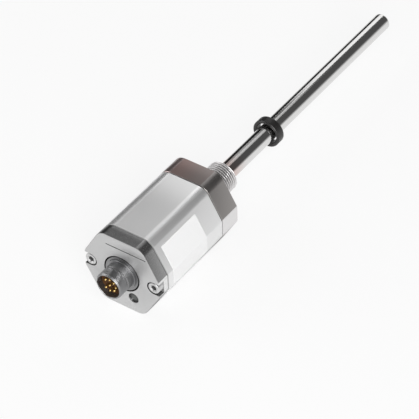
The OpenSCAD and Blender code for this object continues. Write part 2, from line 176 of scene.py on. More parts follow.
class NodeTree:
    """The nodes of one material, or of the world."""

    def __init__(self, owner: Union[bpy.types.Material, bpy.types.World]) -> None:
        """Turns the owner's nodes on and finds its shader.

        Args:
            owner: the material or the world.
        """
        owner.use_nodes = True
        self.owner = owner
        self.tree = owner.node_tree
        self.shader = next(n for n in self.tree.nodes if n.type in ("BSDF_PRINCIPLED", "BACKGROUND"))

    def node(self, kind: str, settings: dict[str, Any], sockets: dict[Any, Any]) -> bpy.types.Node:
        """Adds one node.

        Args:
            kind: the node's type.
            settings: its properties, which are set first.
            sockets: values or links of its inputs, by name or place.

        Returns:
            The node.
        """
        node = self.tree.nodes.new(kind)
        for name, setting in settings.items():
            setattr(node, name, setting)
        for key, value in sockets.items():
            self.feed(node.inputs[key], value)
        return node

    def feed(self, socket: Socket, value: Any) -> None:
        """Links a Value or a socket to an input, or sets a number or a colour on it.

        Args:
            socket: the input.
            value: what it gets; None leaves it as it is.
        """
        if isinstance(value, Value):
            value = value.socket
        if isinstance(value, Socket):
            self.tree.links.new(value, socket)
        elif isinstance(value, tuple):
            socket.default_value = (*value, 1.0)
        elif value is not None:
            socket.default_value = value

    def maths(self, operation: str, a: Term, b: Term = None) -> Value:
        """One maths node with one or two inputs."""
        return Value(self, self.node("ShaderNodeMath", {"operation": operation}, {0: a, 1: b}).outputs[0])

    def split(self, vector: Socket) -> tuple[Value, ...]:
        """The three parts of a vector."""
        return tuple(Value(self, s) for s in self.node("ShaderNodeSeparateXYZ", {}, {0: vector}).outputs)

    @cached_property
    def xyz(self) -> tuple[Value, ...]:
        """Object coordinates in millimetres.

        Returns:
            X, Y and Z.
        """
        place = self.node("ShaderNodeTexCoord", {}, {}).outputs["Object"]
        scaled = self.node("ShaderNodeVectorMath", {"operation": "SCALE"}, {0: place, "Scale": 1 / MM})
        return self.split(scaled.outputs[0])

    def noise(self, scale: float, detail: float = 2.0, stretch: Sequence[float] = (1, 1, 1)) -> Value:
        """Noise over the object in millimetres.

        Args:
            scale: how many grains a millimetre.
            detail: octaves.
            stretch: factor along each axis, small where the grain is long.

        Returns:
            A value round one half.
        """
        parts = dict(enumerate(part * factor for part, factor in zip(self.xyz, stretch)))
        place = self.node("ShaderNodeCombineXYZ", {}, parts).outputs[0]
        sockets = {"Vector": place, "Scale": scale, "Detail": detail}
        return Value(self, self.node("ShaderNodeTexNoise", {}, sockets).outputs[0])

    def mix(self, factor: Value, low: Any, high: Any) -> Socket:
        """A colour between low, at a factor of 0, and high; each is a colour or a socket."""
        sockets = {"Factor": factor, 6: low, 7: high}
        return self.node("ShaderNodeMix", {"data_type": "RGBA"}, sockets).outputs[2]

    def bump(self, height: Value, strength: float, distance: float = GRAIN_DEPTH) -> None:
        """Feeds a height through a bump node to the shader's normal; distance is in metres."""
        sockets = {"Strength": strength, "Distance": distance, "Height": height}
        self.feed(self.shader.inputs["Normal"], self.node("ShaderNodeBump", {}, sockets).outputs[0])

    def surface(self, **values: Any) -> None:
        """Sets or links inputs of the shader by name, with _ for a space."""
        for name, value in values.items():
            self.feed(self.shader.inputs[name.replace("_", " ")], value)


# Finishes


@dataclass(frozen=True)
class Finish:
    """A finish that makes one material, named for its slot."""

    name: str

    def paint(self, tree: NodeTree) -> None:
        """Feeds the shader; each kind of finish does it in its own way."""
        raise NotImplementedError

    def make(self) -> bpy.types.Material:
        """Builds the material.

        Returns:
            The material.
        """
        tree = NodeTree(bpy.data.materials.new(self.name))
        self.paint(tree)
        return tree.owner


@dataclass(frozen=True)
class Metal(Finish):
    """Metal with a fine grain, long along the axis whose stretch is small."""

    colour: Colour
    roughness: float
    metallic: float = 1.0
    stretch: Triple = (0.04, 1.0, 1.0)
    grain: float = 0.08
    relief: float = 0.05
    far_colour: Optional[Colour] = None  # colour beyond the stations of the fade
    fade: Pair = (0.0, 100.0)

    def paint(self, tree: NodeTree) -> None:
        """Grain in roughness and relief, and a colour that may change along the rod.

        Args:
            tree: the material's nodes.
        """
        grain = tree.noise(6.0, 3.0, self.stretch)
        colour = self.colour
        if self.far_colour:
            colour = tree.mix(tree.xyz[0].ramp(*self.fade), self.colour, self.far_colour)
        tree.surface(
            Base_Color=colour, Metallic=self.metallic, Roughness=grain.about(self.roughness, self.grain)
        )
        tree.bump(grain, self.relief)


@dataclass(frozen=True)
class Plastic(Finish):
    """Moulded plastic or rubber with a fine texture."""

    colour: Colour
    roughness: float = 0.5
    specular: float = 0.5
    texture: float = 0.1
    darkest: float = 0.86  # share of the colour where the grain is darkest

    def paint(self, tree: NodeTree) -> None:
        """Grain in colour and roughness, and a finer one in relief.

        Args:
            tree: the material's nodes.
        """
        grain = tree.noise(5.0, 3.0)
        darker = tuple(c * self.darkest for c in self.colour)
        tree.surface(
            Base_Color=tree.mix(grain, darker, self.colour),
            Roughness=grain.about(self.roughness, 0.1),
            Specular_IOR_Level=self.specular,
        )
        tree.bump(tree.noise(14.0), self.texture)


@dataclass(frozen=True)
class CoverFinish(Finish):
    """Dark milled cover with a bright milled front face, and painted light and painted shade on its other
    parts.

    Its parts are told apart by how deep a point lies behind the front plane, and by where it
    lies across it. The engraved line, the connector's recess, the seats of the screws and the
    pocket walls get painted shade; the pocket mouths and the side flats get painted light. The
    flats on top and below are painted darker as painted shade, and have streaks.
    """

    front_x: float
    pocket: float
    side: Colour = grey(0.36)
    front: Colour = grey(0.58)
    # painted shade in the engraved line, the connector's recess and the screws' seats
    painted_shade: Colour = grey(0.012)
    # painted shade: the flats on top and below are painted darker than the sides
    flat: Colour = grey(0.225)
    # painted shade on the pocket walls
    shaded_wall: Colour = grey(0.20)
    # painted light on the side flats
    lit_flank: Colour = grey(0.80)
    skin: float = 0.06  # depth down to which a point is front face
    sunk: float = 0.12  # depth from which it is sunk
    edge: float = 0.3  # depth down to which the outer edge is dull
    line_depth: Pair = (0.1, 0.55)
    line_y: Pair = (-16.0, 9.6)
    line_z: float = 16.6
    line_half: float = 0.3
    recess_r: float = 11.4
    seat_y: Pair = (15.8, 20.5)
    seat_half: float = 4.1
    wall_z: Pair = (3.85, 4.0)
    mouth_y: float = 21.6
    flat_z: float = 22.95
    flank_y: float = 23.45
    flank_z: float = -4.3

    def paint(self, tree: NodeTree) -> None:
        """Lays the colours over each other, from the sides to the painted shade in the line, recess and
        seats.

        Args:
            tree: the material's nodes.
        """
        x, y, z = tree.xyz
        depth, wide, high = x - self.front_x, abs(y), abs(z)
        sunk = depth > self.sunk
        line = depth.within(*self.line_depth) * y.within(*self.line_y)
        line = line * (abs(z - self.line_z) < self.line_half)
        recess = (hypot(y, z) < self.recess_r) * sunk
        seat = wide.within(*self.seat_y) * (high < self.seat_half) * sunk
        # painted light: the pocket floor where the pocket opens gets the front face's bright colour
        lit_mouth = (wide > self.mouth_y) * (high < self.wall_z[0]) * (depth < self.pocket + 0.1)
        bright = (depth < self.skin) | lit_mouth
        # painted shade: mask of the pocket walls
        shaded_wall = high.within(*self.wall_z) * (wide > self.seat_y[1]) * sunk
        # painted light: mask of the side flats, above their lower edge
        lit_flank = (wide > self.flank_y) * (z > self.flank_z)
        streaks = tree.noise(1.6, 3.0, (0.5, 0.5, 0.5)).ramp(0.35, 0.65, 0.75, 1.0)
        # painted shade on the flats on top and below, with streaks of real texture
        colour = tree.mix((high > self.flat_z) * streaks, self.side, self.flat)
        colour = tree.mix(shaded_wall * (depth < self.pocket), colour, self.shaded_wall)
        colour = tree.mix(lit_flank * (1 - shaded_wall), colour, self.lit_flank)
        colour = tree.mix(bright, colour, self.front)
        grain = tree.noise(5.0, 3.0, (1.0, 1.0, 0.06))
        tree.surface(
            # painted shade over the engraved line, the recess and the seats
            Base_Color=tree.mix(line | recess | seat, colour, self.painted_shade),
            Metallic=0.95 - bright * 0.2,
            Roughness=grain.about(0.26, 0.08) + bright * 0.2 + depth.within(self.skin, self.edge) * 0.4,
        )
        tree.bump(grain, 0.04)


@dataclass(frozen=True)
class ScrewFinish(Finish):
    """Bright screws with painted shade in their sockets and round their heads, but not where the pockets
    open.

    A point belongs to the screw on its own side of the cover; its radius is measured from that
    screw's axis and its depth from the top of the head.
    """

    offset: float
    top: float
    bright: Colour = grey(0.62)
    # painted shade in the hexagon sockets
    socket: Colour = grey(0.14)
    # painted shade in the gap round the heads
    dark: Colour = grey(0.05)
    socket_r: float = 1.8
    socket_depth: Pair = (0.5, 3.2)
    rim_r: float = 3.2
    rim_depth: float = 4.5
    rim_off: float = 0.8  # no rim beyond this, outside the screw's axis

    def paint(self, tree: NodeTree) -> None:
        """Lays the painted shade of the socket and of the rim over the bright colour.

        Args:
            tree: the material's nodes.
        """
        x, y, z = tree.xyz
        off, depth = abs(y) - self.offset, x - self.top
        radius = hypot(off, z)
        # painted shade: mask of the socket
        inside = (radius < self.socket_r) * depth.within(*self.socket_depth)
        # painted shade: mask of the ring round the head
        rim = (radius > self.rim_r) * (depth < self.rim_depth) * (off < self.rim_off)
        tree.surface(
            Base_Color=tree.mix(rim, tree.mix(inside, self.bright, self.socket), self.dark),
            Metallic=0.8 - (inside | rim) * 0.5,
            Roughness=tree.noise(6.0).about(0.35, 0.1),
        )


@dataclass(frozen=True)
class HousingFinish(Finish):
    """Satin extrusion with a painted highlight along its rounded edges, and painted shade and more roughness
    on its cut ends, which dims their glints.

    The painted highlight bands lie where the outline begins to turn away from the flat top and bottom.
    """

    ends: Pair
    colour: Colour = grey(0.82)
    # painted highlight along the rounded edges
    painted_highlight: Colour = grey(1.0)
    # painted shade on the cut ends, which dims their glints
    cut: Colour = grey(0.5)
    shaded_end_l: float = 0.25  # how far a cut end reaches along the housing
    band_y: Pair = (8.6, 9.6)
    band_z: Pair = (21.9, 22.5)

    def paint(self, tree: NodeTree) -> None:
        """Lays the painted highlight bands and the painted shade on the cut ends over the satin.

        Args:
            tree: the material's nodes.
        """
        x, y, z = tree.xyz
        grain = tree.noise(6.0, 3.0, (0.04, 1.0, 1.0))
        # painted highlight: mask of the bands
        highlight_band = abs(y).ramp(*self.band_y) * abs(z).ramp(*self.band_z)
        # painted shade and more roughness at the cut ends
        end = 1 - x.within(self.ends[0] + self.shaded_end_l, self.ends[1] - self.shaded_end_l)
        tree.surface(
            Base_Color=tree.mix(end, tree.mix(highlight_band, self.colour, self.painted_highlight), self.cut),
            Metallic=0.70,
            Roughness=grain.about(0.30, 0.08) + end * 0.5,
        )
        tree.bump(grain, 0.05)


@dataclass(frozen=True)
class FlangeFinish(Finish):
    """Dark turned steel with painted shade, darker and warmer, over its flat top and bottom, and painted
    light on its side flats.

    The tint fades across the top, and a painted highlight lies on the rounded edge at its end.
    """

    colour: Colour = (0.385, 0.365, 0.355)
    # painted shade: the flat top and bottom take these darker colours, plain to warm across the top
    warm: Colour = (0.33, 0.24, 0.225)
    plain: Colour = (0.30, 0.26, 0.25)
    # painted highlight on the rounded edge
    edge: Colour = (0.62, 0.50, 0.49)
    # painted light on the side flats
    side: Colour = (0.78, 0.77, 0.77)
    tint_y: Pair = (-8.0, 10.0)
    edge_from: Pair = (9.0, 10.5)
    edge_to: Pair = (12.6, 14.2)
    edge_z: float = 18.0
    flat_z: float = 22.95
    side_y: float = 23.45

    def paint(self, tree: NodeTree) -> None:
        """Lays the tint with its painted shade, the painted highlight on the edge and the painted light on
        the side flats over the steel.

        Args:
            tree: the material's nodes.
        """
        _, y, z = tree.xyz
        high = abs(z)
        rounded = y.ramp(*self.edge_from) * y.ramp(*self.edge_to, 1.0, 0.0) * (high > self.edge_z)
        # painted shade over the flat top and bottom
        colour = tree.mix(y.ramp(*self.tint_y), self.plain, self.warm)
        colour = tree.mix(high > self.flat_z, self.colour, colour)
        # painted highlight on the rounded edge
        colour = tree.mix(rounded, colour, self.edge)
        grain = tree.noise(5.0, 3.0, (1.0, 1.0, 0.06))
        tree.surface(
            # painted light on the side flats
            Base_Color=tree.mix(abs(y) > self.side_y, colour, self.side),
            Metallic=1.0,
            Roughness=grain.about(0.35, 0.10),
        )
        tree.bump(grain, 0.05)


@dataclass(frozen=True)
class ShellFinish(Finish):
    """Satin metal of the connector's shell, with painted shade where the base's edge lies in its recess."""

    front_x: float
    colour: Colour = (0.29, 0.29, 0.295)
    # painted shade on the base's edge in the recess
    dark: Colour = grey(0.012)
    edge_r: float = 10.3

    def paint(self, tree: NodeTree) -> None:
        """Turning rings in roughness and relief, and painted shade on the edge.

        Args:
            tree: the material's nodes.
        """
        x, y, z = tree.xyz
        # painted shade where the base's edge lies in the cover's recess
        sunk = (hypot(y, z) > self.edge_r) * (x > self.front_x + 0.02)
        rings = tree.noise(2.2, 2.0, (1.0, 0.02, 0.02))
        tree.surface(
            Base_Color=tree.mix(sunk, self.colour, self.dark),
            Metallic=1 - sunk * 0.6,
            Roughness=rings.about(0.42, 0.16),
        )
        tree.bump(rings, 0.25, 0.00008)


@dataclass(frozen=True)
class ThreadFinish(Finish):
    """Bright rolled thread with painted shade in its roots.

    The colour goes from dark to bright between two radii, but only between two stations, so
    the end face and the undercut stay bright.
    """

    between: Pair
    bright: Colour = (0.80, 0.785, 0.785)
    # painted shade in the thread's roots
    dark: Colour = (0.06, 0.055, 0.055)
    radii: Pair = (8.2, 8.75)
    below: float = 0.4  # how far under the first radius the dark reaches

    def paint(self, tree: NodeTree) -> None:
        """Paints shade into the roots.

        Args:
            tree: the material's nodes.
        """
        x, y, z = tree.xyz
        radius = hypot(y, z)
        # painted shade: mask of the roots
        root = radius.ramp(*self.radii, 1.0, 0.0) * (radius > self.radii[0] - self.below)
        tree.surface(
            Base_Color=tree.mix(root * x.within(*self.between), self.bright, self.dark),
            Metallic=0.75,
            Roughness=tree.noise(6.0, 2.0, (1.0, 0.2, 0.2)).about(0.39, 0.06),
        )


@dataclass(frozen=True)
class WindowFinish(Finish):
    """Smoked window whose middle is lighter, with the light behind it."""

    centre: Pair
    radius: float
    dark: Colour = grey(0.02)
    light: Colour = (0.075, 0.08, 0.077)
    fade: Pair = (0.25, 0.85)  # shares of the radius

    def paint(self, tree: NodeTree) -> None:
        """Fades from the light middle to the dark border.

        Args:
            tree: the material's nodes.
        """
        _, y, z = tree.xyz
        off = hypot(y - self.centre[0], z - self.centre[1])
        shade = off.ramp(self.radius * self.fade[0], self.radius * self.fade[1])
        tree.surface(
            Base_Color=tree.mix(shade, self.light, self.dark), Roughness=off * 0.02 + 0.42, Coat_Weight=0.2
        )


@dataclass(frozen=True)
class BoardFinish(Finish):
    """Circuit board: solder mask over broken tracks that run along the board."""

    mask: Colour
    track: Colour
    tracks_per_mm: float = 1.2
    width: float = 0.35  # a track's share of its lane

    def paint(self, tree: NodeTree) -> None:
        """Draws a track in each lane, broken by noise.

        Args:
            tree: the material's nodes.
        """
        lane = (tree.xyz[1] * self.tracks_per_mm).maths("FRACT")
        line = (lane < self.width) * (tree.noise(0.35, 1.0, (0.4, 1.0, 1.0)) > 0.5)
        tree.surface(Base_Color=tree.mix(line, self.mask, self.track), Roughness=line * 0.1 + 0.35)


@dataclass(frozen=True)
class WindingFinish(Finish):
    """Enamelled wire wound side by side, with painted shade between the turns."""

    colour: Colour
    pitch: float = 0.25
    # painted shade between the turns
    darkest: float = 0.45  # share of the colour between two turns

    def paint(self, tree: NodeTree) -> None:
        """Paints shade into the gaps between the turns, and lowers them.

        Args:
            tree: the material's nodes.
        """
        turn = abs((tree.xyz[0] * (1 / self.pitch)).maths("FRACT") - 0.5)
        # painted shade between the turns
        darker = tuple(c * self.darkest for c in self.colour)
        tree.surface(Base_Color=tree.mix(turn * 2.0, self.colour, darker), Metallic=0.85, Roughness=0.35)
        tree.bump(turn, 0.5, 0.00005)


# Surfaces


def fillet(points: Sequence[Pair], radii: Union[float, Sequence[float]], steps: int = 4) -> np.ndarray:
    """Rounds the corners of a closed profile.

    Each corner becomes an arc that touches both its edges; a radius of nought keeps it sharp.

    Args:
        points: corners (a, b) in order.
        radii: one radius, or one for each corner.
        steps: pieces in each arc.

    Returns:
        Points of the rounded profile, shape (n, 2).
    """
    corners = np.asarray(points, float)
    radii = np.broadcast_to(np.asarray(radii, float), len(corners))
    rows = []
    for i, (corner, radius) in enumerate(zip(corners, radii)):
        before, after = corners[i - 1] - corner, corners[(i + 1) % len(corners)] - corner
        la, lb = np.linalg.norm(before), np.linalg.norm(after)
        a, b = before / la, after / lb
        half = math.acos(np.clip(a @ b, -1, 1)) / 2
        if radius <= 0 or half > math.pi / 2 - STRAIGHT:
            rows.append(corner[None])
            continue
        reach = min(radius / math.tan(half), 0.49 * la, 0.49 * lb)
        radius = reach * math.tan(half)
        centre = corner + (a + b) / np.linalg.norm(a + b) * radius / math.sin(half)
        start, end = corner + a * reach - centre, corner + b * reach - centre
        turn = math.pi - 2 * half
        t = np.linspace(0, 1, steps + 1)[:, None]
        rows.append(centre + (np.sin((1 - t) * turn) * start + np.sin(t * turn) * end) / math.sin(turn))
    return np.concatenate(rows)


def angles(segments: int) -> np.ndarray:
    """Angles once round, in equal steps from nought."""
    return np.linspace(0, 2 * math.pi, segments, endpoint=False)


def ring_points(stations: np.ndarray, radii: np.ndarray, segments: int) -> np.ndarray:
    """Points (x, r sin t, r cos t) of rings about the X axis.

    Args:
        stations: x of each ring.
        radii: r, shape (rings, segments) or (rings, 1).
        segments: points in a ring.

    Returns:
        The points ring by ring, shape (n, 3).
    """
    t = angles(segments)
    r = np.broadcast_to(radii, (len(stations), segments))
    x = np.broadcast_to(np.reshape(stations, (-1, 1)), r.shape)
    return np.stack([x, r * np.sin(t), r * np.cos(t)], -1).reshape(-1, 3)


def grid_faces(rows: int, columns: int, close_rows: bool) -> np.ndarray:
    """Quads of a grid whose columns wrap round.

    Args:
        rows: rings of the grid.
        columns: points in a ring.
        close_rows: whether the last ring is joined to the first.

    Returns:
        Indices, shape (n, 4).
    """
    r = np.arange(rows if close_rows else rows - 1)[:, None]
    c = np.arange(columns)[None]
    up, right = (r + 1) % rows, (c + 1) % columns
    quads = [r * columns + c, r * columns + right, up * columns + right, up * columns + c]
    return np.stack(quads, -1).reshape(-1, 4)


def make_mesh(name: str, verts: np.ndarray, faces: Sequence, smooth: float = 35.0) -> Obj:
    """Makes an object from vertices in millimetres, with merged doubles and outward faces.

    Args:
        name: name of the object and its mesh.
        verts: vertices, shape (n, 3).
        faces: quads as an array, or a list of index lists.
        smooth: edges sharper than this angle, in degrees, stay sharp.

    Returns:
        The object, linked to the scene.
    """
    mesh = bpy.data.meshes.new(name)
    mesh.from_pydata((np.asarray(verts) * MM).tolist(), [], [list(map(int, f)) for f in faces])
    shape = bmesh.new()
    shape.from_mesh(mesh)
    bmesh.ops.remove_doubles(shape, verts=shape.verts, dist=MERGE)
    bmesh.ops.dissolve_degenerate(shape, edges=shape.edges, dist=MERGE / 10)
    bmesh.ops.recalc_face_normals(shape, faces=shape.faces)
    shape.to_mesh(mesh)
    shape.free()
    obj = bpy.data.objects.new(name, mesh)
    bpy.context.scene.collection.objects.link(obj)
    shade(obj, smooth)
    return obj


def shade(obj: Obj, sharp: float) -> None:
    """Smooth shading, with edges over the angle in degrees kept sharp."""
    obj.data.shade_smooth()
    obj.data.set_sharp_from_angle(angle=math.radians(sharp))


def apply_modifiers(obj: Obj) -> None:
    """Replaces an object's mesh by its evaluated one and clears its modifiers.

    Args:
        obj: the object.
    """
    graph = bpy.context.evaluated_depsgraph_get()
    graph.update()
    made = bpy.data.meshes.new_from_object(obj.evaluated_get(graph), depsgraph=graph)
    made.name = obj.name
    obj.modifiers.clear()
    obj.data = made


def combine(obj: Obj, others: Sequence[Obj], keep: Keep) -> None:
    """Keeps what lies outside or inside other bodies, and removes those bodies.

    Args:
        obj: the object that stays.
        others: closed bodies that meet it.
        keep: which part of it stays.
    """
    for i, other in enumerate(others):
        step = obj.modifiers.new(f"step_{i}", "BOOLEAN")
        step.operation, step.object, step.solver = keep.value, other, "EXACT"
    apply_modifiers(obj)
    shade(obj, CUT_SHARP)
    for other in others:
        bpy.data.objects.remove(other)


def soften(obj: Obj, width: float, bend: float = 40.0, sharp: float = 32.0) -> None:
    """Joins flat faces and bevels the edges.

    Args:
        obj: the object.
        width: width of the bevel.
        bend: edges over this angle, in degrees, are bevelled.
        sharp: edges over this angle, in degrees, are then shaded sharp.
    """
    shape = bmesh.new()
    shape.from_mesh(obj.data)
    bmesh.ops.remove_doubles(shape, verts=shape.verts, dist=MERGE * 10)
    flat = {"angle_limit": math.radians(1.0), "use_dissolve_boundaries": False}
    bmesh.ops.dissolve_limit(shape, verts=shape.verts, edges=shape.edges, **flat)
    shape.to_mesh(obj.data)
    shape.free()
    bevel = obj.modifiers.new("edge", "BEVEL")
    bevel.width, bevel.segments = width * MM, 2
    bevel.limit_method, bevel.angle_limit = "ANGLE", math.radians(bend)
    bevel.use_clamp_overlap = True
    apply_modifiers(obj)
    shade(obj, sharp)


def turned(
    name: str, profile: Sequence[Pair], segments: int = 96, places: Sequence[Pair] = ((0.0, 0.0),)
) -> Obj:
    """Turns a closed profile about axes along X, all copies in one mesh.

    Args:
        name: name of the object.
        profile: (radius, station) points in order.
        segments: points in a ring.
        places: (y, z) of each axis.

    Returns:
        The object.
    """
    radii, stations = np.asarray(profile, float).T
    one = ring_points(stations, radii[:, None], segments)
    shift = np.insert(np.asarray(places, float), 0, 0.0, axis=1)
    first = np.arange(len(shift)) * len(one)
    faces = grid_faces(len(stations), segments, True) + first[:, None, None]
    return make_mesh(name, (one + shift[:, None]).reshape(-1, 3), faces.reshape(-1, 4))


def box(name: str, low: Sequence[float], high: Sequence[float]) -> Obj:
    """A box.

    Args:
        name: name of the object.
        low: its lowest corner.
        high: its highest corner.

    Returns:
        The object.
    """
    pick = np.array([[i >> 2 & 1, i >> 1 & 1, i & 1] for i in range(8)])
    sides = [(0, 1, 3, 2), (4, 6, 7, 5), (0, 4, 5, 1), (2, 3, 7, 6), (0, 2, 6, 4), (1, 5, 7, 3)]
    return make_mesh(name, np.where(pick, high, low), sides)


# The sensor's sizes


@dataclass(frozen=True)
class Stations:
    """Places along the rod's axis, from the start of the thread."""

    rim: float = -86.0
    cover_out: float = -74.2
    cover_in: float = -66.4
    housing_back: float = -66.0
    housing_front: float = -17.0
    flange_back: float = -16.6
    face: float = -2.6
    thread_end: float = 18.5
    tube_end: float = 178.0
    rod_end: float = 181.0


@dataclass(frozen=True)
class Outline:
    """Six sided outline with two narrow flats, shared by housing, cover and flange.

    The outline is eight arcs joined by straight lines. A point on an arc is the arc's centre
    plus its radius, less the inset, in the direction of the arc's angle, so every inset ring
    has the same number of points.
    """

    half_h: float = 23.0
    half_w: float = 23.75
    corner_r: float = 7.5
    side_r: float = 2.5
    steps: int = 12

    def arcs(self) -> np.ndarray:
        """The arcs, anticlockwise from +Y.

        An arc's centre lies its radius over the cosine of half its turn from the corner that
        it rounds, along the bisector.

        Returns:
            Rows of centre y, centre z, radius, first and last angle in degrees.
        """
        root = math.sqrt(3)
        side = (self.half_w, 2 * self.half_h - root * self.half_w)
        top = (self.half_h / root, self.half_h)
        upper = []
        for (y, z), r, first, last in ((side, self.side_r, 0.0, 30.0), (top, self.corner_r, 30.0, 90.0)):
            bisector = math.radians((first + last) / 2)
            reach = r / math.cos(math.radians((last - first) / 2))
            upper.append((y - reach * math.cos(bisector), z - reach * math.sin(bisector), r, first, last))
        upper += [(-y, z, r, 180 - b, 180 - a) for y, z, r, a, b in reversed(upper)]
        return np.array(upper + [(-y, -z, r, a + 180, b + 180) for y, z, r, a, b in upper])

    def ring(self, inset: float) -> np.ndarray:
        """The outline set in by a distance.

        Args:
            inset: how far it is set in; below nought it is set out.

        Returns:
            Points (y, z), shape (n, 2).
        """
        y, z, radius, first, last = self.arcs().T[..., None]
        angle = np.radians(first + (last - first) * np.linspace(0, 1, self.steps + 1))
        reach = radius - inset
        return np.stack([y + reach * np.cos(angle), z + reach * np.sin(angle)], -1).reshape(-1, 2)

    def prism(self, name: str, rings: Sequence[Pair]) -> Obj:
        """Closed body through rings of the outline.

        Args:
            name: name of the object.
            rings: (station, inset) of each ring.

        Returns:
            The object.
        """
        points = [self.ring(inset) for _, inset in rings]
        count = len(points[0])
        verts = np.concatenate([np.insert(p, 0, x, axis=1) for (x, _), p in zip(rings, points)])
        last = (len(rings) - 1) * count
        faces = [*grid_faces(len(rings), count, False), range(count), range(last, last + count)]
        return make_mesh(name, verts, faces)


# Sub-assemblies


def copy_node(node: str, name: str) -> Obj:
    """Copies a CAD node's mesh into a new object, without its imported normals.

    Args:
        node: the CAD node.
        name: name of the new object.

    Returns:
        The object.
    """
    source = frame["nodes"][node].data
    verts = np.empty(len(source.vertices) * 3, np.float32)
    source.vertices.foreach_get("co", verts)
    return make_mesh(name, verts.reshape(-1, 3) / MM, [list(p.vertices) for p in source.polygons])


@dataclass(frozen=True)
class Piece:
    """A new piece: how it is made, its finish, and what it stands for.

    It stands for a CAD node if one is named.
    """

    make: Callable[[], Obj]
    finish: str
    node: str = ""
    slot: str = ""
    body: Body = Body.SENSOR

    def build(self, materials: Materials) -> Obj:
        """Makes the piece and gives it its material and body.

        Args:
            materials: all materials by name.

        Returns:
            The piece.
        """
        obj = self.make()
        obj.data.materials.clear()
        obj.data.materials.append(materials[self.finish])
        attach(obj, self.body.value)
        if self.node:
            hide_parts(self.node)
        return obj


@dataclass(frozen=True)
class Enclosure:
    """Housing and end cover, with machined outer edges; the flange has the same ones.

    Each is the CAD piece, kept inside a slightly larger prism whose ends slope in at 45
    degrees, which leaves a chamfer on the outer edges. The other edges get a small bevel.
    """

    at: Stations = Stations()
    outline: Outline = Outline()
    housing_chamfer: float = 0.18
    cover_chamfer: float = 0.2
    edge: float = 0.1
    over: float = 0.8  # how far the prism stands out

    def chamfered(self, node: str, name: str, ends: Pair, chamfer: Pair) -> Obj:
        """A CAD piece with chamfers round its two ends.

        Args:
            node: the CAD node.
            name: name of the new object.
            ends: its first and last station.
            chamfer: width of the chamfer at each.

        Returns:
            The object.
        """
        obj = copy_node(node, name)
        (start, end), (near, far), over = ends, chamfer, self.over
        rings = [
            (start - over, near + over), (start + near + over, -over),
            (end - far - over, -over), (end + over, far + over),
        ]
        combine(obj, [self.outline.prism(name + "_keep", rings)], Keep.INSIDE)
        soften(obj, self.edge)
        return obj

    def build_housing(self) -> Obj:
        """The extruded housing."""
        ends, c = (self.at.housing_back, self.at.housing_front), self.housing_chamfer
        return self.chamfered("housing_profile", "housing", ends, (c, c))

    def build_cover(self) -> Obj:
        """The end cover with its pockets and engraved line."""
        ends, chamfer = (self.at.cover_out, self.at.cover_in), (self.cover_chamfer, self.housing_chamfer)
        return self.chamfered("end_cover", "cover", ends, chamfer)

    def pieces(self) -> Sequence[Piece]:
        """Both pieces with their dress.

        Returns:
            The pieces.
        """
        return (
            Piece(self.build_housing, "anodised_aluminium", "housing_profile"),
            Piece(self.build_cover, "cover_aluminium", "end_cover"),
        )


@dataclass(frozen=True)
class Thread:
    """Helical thread on a turned body.

    The radius at angle t and station x is the body's radius less the depth times a wedge of
    the fraction of (x / pitch - t / full turn): nought over the crest, one over the root. The
    depth grows from the run-out's share to the whole within the first pitch, and falls the
    same way in the last.
    """

    major_r: float
    start: float
    end: float
    pitch: float
    depth: float
    crest: float
    per_pitch: int
    root: float = 0.96  # where the wedge reaches its full depth
    run_out: float = 0.15  # share of the depth at the very ends
    segments: int = 96

    def radius(self, x: np.ndarray, limit: np.ndarray) -> np.ndarray:
        """Radius over the grid of stations and angles.

        Args:
            x: stations.
            limit: largest radius at each.

        Returns:
            Radii, shape (stations, segments).
        """
        part = (x[:, None] / self.pitch - angles(self.segments)[None] / (2 * math.pi)) % 1.0
        wedge = np.clip((np.abs(2 * part - 1) - self.crest) / (self.root - self.crest), 0, 1)
        fade = np.clip(np.minimum(x - self.start, self.end - x) / self.pitch + self.run_out, 0, 1)[:, None]
        return np.minimum(limit[:, None], self.major_r - self.depth * wedge * fade)

    def body(self, name: str, before: Sequence[Pair], after: Sequence[Pair], chamfer: Pair) -> Obj:
        """Closed body: a profile before the thread, the thread, and a profile after it.

        Args:
            name: name of the object.
            before: (radius, station) points that lead up to the thread.
            after: (radius, station) points that lead back from it, to the first point.
            chamfer: size of a 45 degree chamfer at the start and end of the thread.

        Returns:
            The object.
        """
        turns = (self.end - self.start) / self.pitch
        x = np.linspace(self.start, self.end, int(turns * self.per_pitch) + 1)
        cut = np.maximum(chamfer[0] - (x - self.start), chamfer[1] - (self.end - x))
        lead, back = np.array(before, float), np.array(after, float)
        stations = np.concatenate([lead[:, 1], x, back[:, 1]])
        radii = np.concatenate([
            np.repeat(lead[:, :1], self.segments, 1),
            self.radius(x, self.major_r - np.clip(cut, 0, None)),
            np.repeat(back[:, :1], self.segments, 1),
        ])
        verts = ring_points(stations, radii, self.segments)
        return make_mesh(name, verts, grid_faces(len(stations), self.segments, True), CUT_SHARP)


